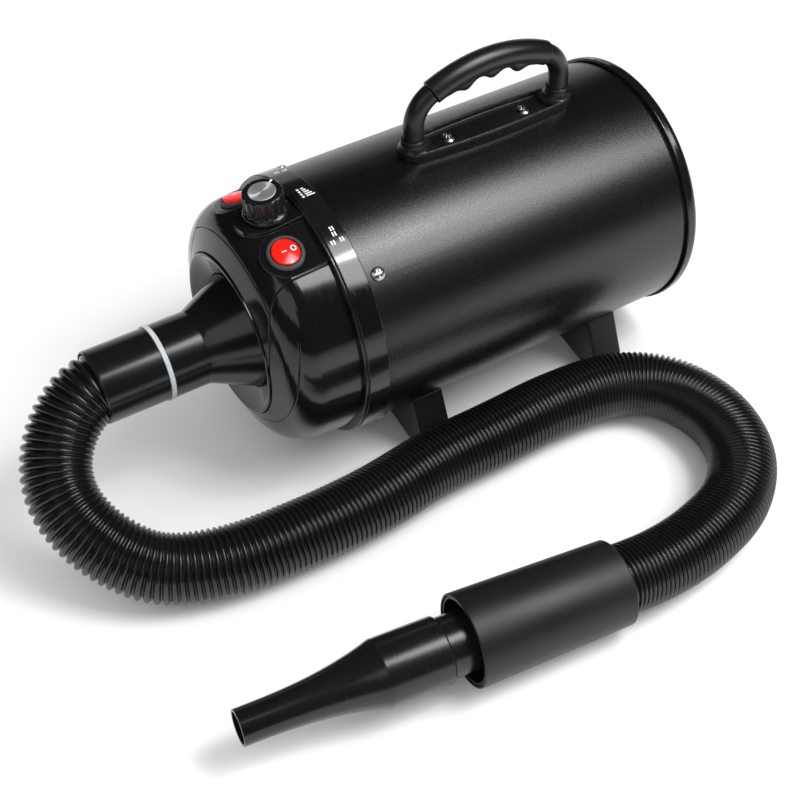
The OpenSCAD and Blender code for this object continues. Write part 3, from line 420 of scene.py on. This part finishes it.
def patches(name, slabs, mat, body):
    """Several slabs as one printed or moulded mark."""
    verts, faces = [], []
    for v, f in slabs:
        base = len(verts)
        verts += v
        faces += [tuple(base + i for i in face) for face in f]
    return closed_outward(mesh_object(name, verts, faces, mat, body, smooth=False))


def lathe(name, profile, place, mat, body, sides=128):
    """A closed piece turned about its own Z axis from (radius, height) points in mm, a pole at each end."""
    verts, rings = [], []
    for r, z in profile:
        n = 1 if r == 0 else sides
        rings.append((len(verts), n))
        verts += [Vector((r * math.cos(2 * math.pi * k / sides), r * math.sin(2 * math.pi * k / sides), z)) * MM
                  for k in range(n)]
    faces = []
    for (a, na), (b, nb) in zip(rings, rings[1:]):
        for k in range(sides):
            j = (k + 1) % sides
            if na == 1:
                faces.append((a, b + k, b + j))
            elif nb == 1:
                faces.append((a + k, b, a + j))
            else:
                faces.append((a + k, b + k, b + j, a + j))
    me = bpy.data.meshes.new(name)
    me.from_pydata([tuple(v) for v in verts], [], faces)
    obj = bpy.data.objects.new(name, me)
    bpy.context.scene.collection.objects.link(obj)
    me.materials.append(mat)
    closed_outward(obj)
    me.polygons.foreach_set("use_smooth", [True] * len(me.polygons))
    me.set_sharp_from_angle(angle=math.radians(35))
    obj.matrix_world = place
    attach(obj, body)
    return obj


def softened(node, voxel, rounds, mat, body):
    """A copy of a moulding whose sharp edges are rounded, shown in its place; voxel is in mm."""
    obj = bpy.data.objects.new("soft_" + node, cad_object(node).data.copy())
    bpy.context.scene.collection.objects.link(obj)
    remesh = obj.modifiers.new("remesh", "REMESH")
    remesh.mode = "VOXEL"
    remesh.voxel_size = voxel * MM
    smooth = obj.modifiers.new("smooth", "SMOOTH")
    smooth.factor = 0.5
    smooth.iterations = rounds
    graph = bpy.context.evaluated_depsgraph_get()
    me = bpy.data.meshes.new_from_object(obj.evaluated_get(graph))
    obj.modifiers.clear()
    obj.data = me
    me.polygons.foreach_set("use_smooth", [True] * len(me.polygons))
    paint(obj, mat)
    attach(obj, body)
    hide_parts(node)


# ---------------------------------------------------------------- hose
HOSE_ROUTE_MM = [
    (-91.65, -181.3, 97), (-91.5, -192, 96), (-88.8, -204, 90.4), (-81, -218, 79.5), (-68, -228, 66),
    (-49, -230, 52), (-25, -219, 36), (-2, -196, 24.2), (13, -158, 22.2), (18, -112, 22.2),
    (18, -60, 22.2), (12, -8, 22.2), (11, 42, 22.2), (10, 88, 22.2), (16, 131, 22.2), (38, 161, 22.2),
    (75, 172, 22.2), (112, 162, 22.2), (138, 134, 22.2), (150, 97, 22.4), (153.6, 62, 23.6),
    (152.25, 28.4, 26.7), (150.91, 16.48, 26.94),
]
ROUTE_STEP = 1.0 * MM
ROUTE_PASSES = 40
HOSE_R = 22 * MM
HOSE_PITCHES = ((0.0, 4.8), (0.13, 4.7), (0.24, 3.5), (0.34, 3.07), (1.0, 3.07))  # metres along, pitch in mm
TIGHT_PITCH = 5.2 * MM  # up to this pitch the ribs touch, beyond it their grooves widen
GROOVE_SHARE = 0.75  # depth of a groove, as a share of the pitch there
GROOVE_MAX = 3.2 * MM
CREST_POWER = 0.36  # below 1 it rounds the crests and narrows the grooves
STRETCH_RANGE = (0.4, 1.35)  # pitch inside and outside a bend, next to the middle's
BEND_SPAN = 4  # rings on each side over which a bend is measured
RINGS_PER_PITCH = 10
HOSE_SIDES = 40


def spline(p, n):
    """Catmull-Rom points through every route point."""
    out = []
    m = len(p) - 1
    for i in range(m):
        a, b, c, d = p[max(i - 1, 0)], p[i], p[i + 1], p[min(i + 2, m)]
        for k in range(n):
            t = k / n
            out.append(0.5 * (2 * b + (c - a) * t + (2 * a - 5 * b + 4 * c - d) * t * t
                              + (3 * b - a - 3 * c + d) * t * t * t))
    out.append(p[m])
    return out


def evenly(points, step):
    """The same line with points a fixed step apart."""
    lengths = [0.0]
    for a, b in zip(points, points[1:]):
        lengths.append(lengths[-1] + (b - a).length)
    count = max(2, round(lengths[-1] / step))
    out, j = [], 0
    for i in range(count + 1):
        s = lengths[-1] * i / count
        while j < len(points) - 2 and lengths[j + 1] < s:
            j += 1
        t = (s - lengths[j]) / max(lengths[j + 1] - lengths[j], 1e-9)
        out.append(points[j].lerp(points[j + 1], min(max(t, 0), 1)))
    return out, lengths[-1]


def eased(points, passes):
    """Irons small kinks out of a line and keeps its ends."""
    for _ in range(passes):
        inner = [(a + 2 * b + c) / 4 for a, b, c in zip(points, points[1:], points[2:])]
        points = [points[0]] + inner + [points[-1]]
    return points


def frames(points):
    """Directions along a line and a side vector carried along it without twist."""
    dirs = []
    for i in range(len(points)):
        a, b = points[max(i - 1, 0)], points[min(i + 1, len(points) - 1)]
        dirs.append((b - a).normalized())
    side = dirs[0].cross(Vector((0, 0, 1))).normalized()
    sides = [side]
    for a, b in zip(dirs, dirs[1:]):
        side = a.rotation_difference(b) @ side
        side = (side - b * side.dot(b)).normalized()
        sides.append(side)
    return dirs, sides


def pitch_at(s):
    """Distance from rib to rib, s metres from the cuff: the hose is pulled open in its first bend."""
    for (s0, p0), (s1, p1) in zip(HOSE_PITCHES, HOSE_PITCHES[1:]):
        if s <= s1:
            return (p0 + (p1 - p0) * (s - s0) / (s1 - s0)) * MM
    return HOSE_PITCHES[-1][1] * MM


def ridge(phase, pitch):
    """Height of a rib, 0 in the groove and 1 on its round crest; pulled open, the groove widens."""
    width = min(1.0, TIGHT_PITCH / pitch)
    return max(0.0, (math.cos(phase) + width) / (1 + width)) ** CREST_POWER


def make_hose():
    route = [Vector(p) * MM for p in HOSE_ROUTE_MM]
    rough_line, _ = evenly(spline(route, 24), ROUTE_STEP)
    fine, length = evenly(eased(rough_line, ROUTE_PASSES), ROUTE_STEP)
    step = length / (len(fine) - 1)
    stops, s = [], 0.0
    while s < length:
        stops.append(s)
        s += pitch_at(s) / RINGS_PER_PITCH
    stops.append(length)
    rings = []
    for at in stops:
        j = min(int(at / step), len(fine) - 2)
        rings.append(fine[j].lerp(fine[j + 1], at / step - j))
    dirs, sides = frames(rings)
    verts, faces = [], []
    for i, (c, d, a) in enumerate(zip(rings, dirs, sides)):
        b = d.cross(a)
        j, m = max(i - BEND_SPAN, 0), min(i + BEND_SPAN, len(rings) - 1)
        bend = (dirs[m] - dirs[j]) / (stops[m] - stops[j])
        for k in range(HOSE_SIDES):
            u = 2 * math.pi * k / HOSE_SIDES
            out = a * math.cos(u) + b * math.sin(u)
            stretch = min(max(1 - HOSE_R * bend.dot(out), STRETCH_RANGE[0]), STRETCH_RANGE[1])
            pitch = pitch_at(stops[i]) * stretch
            depth = min(GROOVE_SHARE * pitch * min(stretch, 1.0), GROOVE_MAX)
            r = HOSE_R - depth * (1 - ridge(2 * math.pi * i / RINGS_PER_PITCH - u, pitch))
            verts.append(c + out * r)
    for i in range(len(rings) - 1):
        for k in range(HOSE_SIDES):
            j = (k + 1) % HOSE_SIDES
            o = i * HOSE_SIDES
            faces.append((o + k, o + HOSE_SIDES + k, o + HOSE_SIDES + j, o + j))
    obj = mesh_object("corrugated_hose", verts, faces, MATS["hose"])
    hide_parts("air_hose")


make_hose()

# ---------------------------------------------------------------- CAD pieces keep their shapes
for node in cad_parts:
    if node != "air_hose":
        paint(cad_object(node), MATS[NODE_MATS[node]])

# ---------------------------------------------------------------- mouldings with rounded edges
for node, voxel, rounds, body in (("speed_knob", 0.35, 3, "knob"), ("rocker_left", 0.3, 3, "rocker_left"),
                                  ("rocker_right", 0.3, 3, "rocker_right"), ("handle_base", 0.5, 5, "dryer"),
                                  ("foot_front", 0.7, 4, "dryer"), ("foot_rear", 0.7, 4, "dryer")):
    softened(node, voxel, rounds, MATS[NODE_MATS[node]], body)


# ---------------------------------------------------------------- grip with finger hollows
# Lengths in mm and angles in degrees; the bar bows along an arc round GRIP_CENTRE.
GRIP_CENTRE = (125, 41.2)
GRIP_ARC = 94
GRIP_BAR = 7.8
GRIP_SWEEP = 53.1
RIDGE_HALF = 6.8
RIDGE_SWEEP = 19.5
RIDGE_TALL = 4.2
RIDGE_POWER = 1.3
RIDGE_FADE = 4
HOLLOW_STEP = 13
HOLLOW_TOP = 7.4
GRIP_STEPS, GRIP_SIDES = 200, 56


def grip_radius(phi, t):
    """Radius of the grip's section in mm, phi round it from the top and t degrees along its arc."""
    if math.cos(phi) >= 0:
        return GRIP_BAR
    offset = (t / HOLLOW_STEP - 0.5 - math.floor(t / HOLLOW_STEP)) * HOLLOW_STEP
    rise = (0.5 - 0.5 * math.cos(2 * math.pi * offset / HOLLOW_STEP)) ** RIDGE_POWER
    deep = HOLLOW_TOP + RIDGE_TALL * rise if abs(t) < RIDGE_SWEEP else HOLLOW_TOP
    box = ((math.sin(phi) / RIDGE_HALF) ** 4 + (math.cos(phi) / deep) ** 4) ** -0.25
    fade = min(max((abs(t) - RIDGE_SWEEP) / RIDGE_FADE, 0), 1)
    return max(GRIP_BAR, box + (GRIP_BAR - box) * fade)


def make_grip():
    verts, faces = [], []
    middle = [(i / GRIP_STEPS - 0.5, 1.0) for i in range(1, GRIP_STEPS)]
    stations = [(-0.5, 0.0), (-0.5, 0.9)] + middle + [(0.5, 0.9), (0.5, 0.0)]
    for where, size in stations:
        t = GRIP_SWEEP * where
        for k in range(GRIP_SIDES):
            phi = 2 * math.pi * k / GRIP_SIDES
            r = grip_radius(phi, t) * size
            arc = GRIP_ARC + r * math.cos(phi)
            verts.append(along(r * math.sin(phi), GRIP_CENTRE[0] + arc * math.sin(math.radians(t)),
                               GRIP_CENTRE[1] + arc * math.cos(math.radians(t))))
    for i in range(len(stations) - 1):
        for k in range(GRIP_SIDES):
            a, b = i * GRIP_SIDES + k, i * GRIP_SIDES + (k + 1) % GRIP_SIDES
            faces.append((a, b, b + GRIP_SIDES, a + GRIP_SIDES))
    obj = mesh_object("finger_grip", verts, faces, MATS["handle"])
    bm = bmesh.new()
    bm.from_mesh(obj.data)
    bmesh.ops.remove_doubles(bm, verts=bm.verts, dist=1e-6)
    bm.to_mesh(obj.data)
    bm.free()
    closed_outward(obj)
    obj.data.polygons.foreach_set("use_smooth", [True] * len(obj.data.polygons))
    obj.data.set_sharp_from_angle(angle=math.radians(40))
    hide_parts("handle_grip")


make_grip()

# ---------------------------------------------------------------- controls: disc, pointer and marks
DECK_TILT = 6  # degrees the platforms lean forward
ROCKER_X, ROCKER_Y, ROCKER_Z = 30.3, -37, 74.2
ROCKER_LEAN = 22
ROCKER_TIP = 8  # degrees a rocker rests tipped back, about a pin 1 mm above its platform
ROCKER_DOME, ROCKER_DOME_Z = 36, -32.4
MARK_O_X, MARK_O_Y = -0.4, 4.9


def turned(degrees, axis):
    return Matrix.Rotation(math.radians(degrees), 4, axis)


def platform(x, y, z, lean):
    """Frame of a control platform: X across, Y back, Z out of it."""
    return Matrix.Translation(along(x, y, z)) @ turned(lean, "Y") @ turned(DECK_TILT, "X")


KNOB_FRAME = platform(0, -33, 82.3, 0)
KNOB_TOP = 17.3
DISC_LINE = [(0, -1), (8.2, -1), (8.45, -0.8), (8.45, -0.18), (8.25, 0), (7.9, 0), (7.7, -0.1),
             (4, -0.13), (0, -0.15)]
POINTER_SIDE, POINTER_OUT = Vector((0.861, 0.508, 0)), Vector((-0.508, 0.861, 0))
disc = lathe("knob_disc", DISC_LINE, KNOB_FRAME @ Matrix.Translation((0, 0, KNOB_TOP * MM)),
             MATS["cap"], "knob")
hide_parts("knob_cap")


def on_knob(a, b, h):
    """A point on the knob's rim, a across and b out from its centre along the pointer."""
    return KNOB_FRAME @ ((POINTER_SIDE * a + POINTER_OUT * b + Vector((0, 0, KNOB_TOP - 0.4 + h))) * MM)


patches("knob_pointer", [slab(on_knob, (-0.6, 0.6), (8.9, 11.5))], MATS["white"], "knob")


def rocker_marks(side, body):
    """O and I marks on the domed top of a rocker."""
    place = (platform(side * ROCKER_X, ROCKER_Y, ROCKER_Z, side * ROCKER_LEAN)
             @ Matrix.Translation((0, 0, MM)) @ turned(-ROCKER_TIP, "X") @ Matrix.Translation((0, 0, -MM)))

    def dome(x, y, h):
        return place @ (Vector((x, y, ROCKER_DOME_Z + math.sqrt((ROCKER_DOME + h) ** 2 - x * x - y * y))) * MM)

    def round_o(a, r, h):
        return dome(MARK_O_X + r * math.cos(math.radians(a)), MARK_O_Y + r * math.sin(math.radians(a)), h)

    for name, part, mat in (
            ("mark_o_", slab(round_o, (0, 360), (1.15, 1.95), (48, 1)), "white"),
            ("mark_i_", slab(dome, (-0.35, 0.35), (-3.0, 0.0), (1, 8)), "white"),
            ("mark_fill_", slab(round_o, (0, 360), (0.02, 1.12), (48, 1), 0.05), "red_deep")):
        patches(name + body, [part], MATS[mat], body)


rocker_marks(-1, "rocker_left")
rocker_marks(1, "rocker_right")


# ---------------------------------------------------------------- scale marks on the band
def on_band(x, y, h):
    """A point on the band, x round it from the top and y back from the drum's edge, in mm."""
    r = BAND_R / MM + h
    return along(r * math.sin(x * MM / BAND_R), y, r * math.cos(x * MM / BAND_R))


def square_mark(x, y):
    """Two short bars side by side, in place of a printed word."""
    return [slab(on_band, (x - 1.5, x + 1.5), (y + dy, y + dy + 0.9), (3, 1)) for dy in (-1.3, 0.4)]


WORD_MARKS = ((32.4, -6.6), (36.3, -6.8), (41.0, -4.1), (41.3, -10.2), (-35.5, -7.4), (-34.7, -2.2))
wedge = [slab(on_band, (-4.9 + 1.95 * i, -3.9 + 1.95 * i), (-7.1, -5.2 + 0.92 * i), (1, 2)) for i in range(5)]
ticks = [slab(on_band, (-5.0 + 2.5 * i, -3.4 + 2.5 * i), (-10.0, -8.5)) for i in range(4)]
rows = [part for x, y in WORD_MARKS for part in square_mark(x, y)]
patches("band_marks", wedge + ticks + rows, MATS["white"], "dryer")

# ---------------------------------------------------------------- floor and lights
FLOOR_HALF, FLOOR_Z = 6, -0.0003
WORLD_GLOW = 0.8
floor_me = bpy.data.meshes.new("floor")
corners = [(x * FLOOR_HALF, y * FLOOR_HALF, FLOOR_Z) for x, y in ((-1, -1), (1, -1), (1, 1), (-1, 1))]
floor_me.from_pydata(corners, [], [(0, 1, 2, 3)])
floor = bpy.data.objects.new("floor", floor_me)
bpy.context.scene.collection.objects.link(floor)
floor.data.materials.append(Shader("floor_pale", (0.86, 0.86, 0.86), 0.75).mat)

world = bpy.data.worlds.new("studio")
bpy.context.scene.world = world
world.use_nodes = True
world.node_tree.nodes["Background"].inputs["Color"].default_value = (1, 1, 1, 1)
world.node_tree.nodes["Background"].inputs["Strength"].default_value = WORLD_GLOW
world.cycles_visibility.glossy = False

PANEL_WATTS = 4  # per square metre of a panel of radiance 1


def softbox(name, at, target, size, radiance, shape="RECTANGLE"):
    """A panel light; radiance is how bright it looks next to the white floor."""
    data = bpy.data.lights.new(name, "AREA")
    data.shape = shape
    data.size, data.size_y = size
    area = size[0] * size[1] * (math.pi / 4 if shape == "ELLIPSE" else 1)
    data.energy = PANEL_WATTS * area * radiance
    obj = bpy.data.objects.new(name, data)
    bpy.context.scene.collection.objects.link(obj)
    obj.location = at
    obj.rotation_euler = (target - at).to_track_quat("-Z", "Y").to_euler()


MIDDLE = along(50, 90, 60)
softbox("key_box", along(600, 600, 1140), MIDDLE, (0.70, 0.85), 7)
softbox("key_core", along(490, 500, 1150), MIDDLE, (0.12, 0.12), 36, "ELLIPSE")
softbox("front_fill", along(760, -900, 1000), MIDDLE, (1.0, 0.8), 0.8)
softbox("left_glow", along(-1600, 900, 250), MIDDLE, (1.5, 0.8), 0.5)

bpy.context.scene.view_settings.view_transform = "Standard"
bpy.context.scene.view_settings.look = "None"
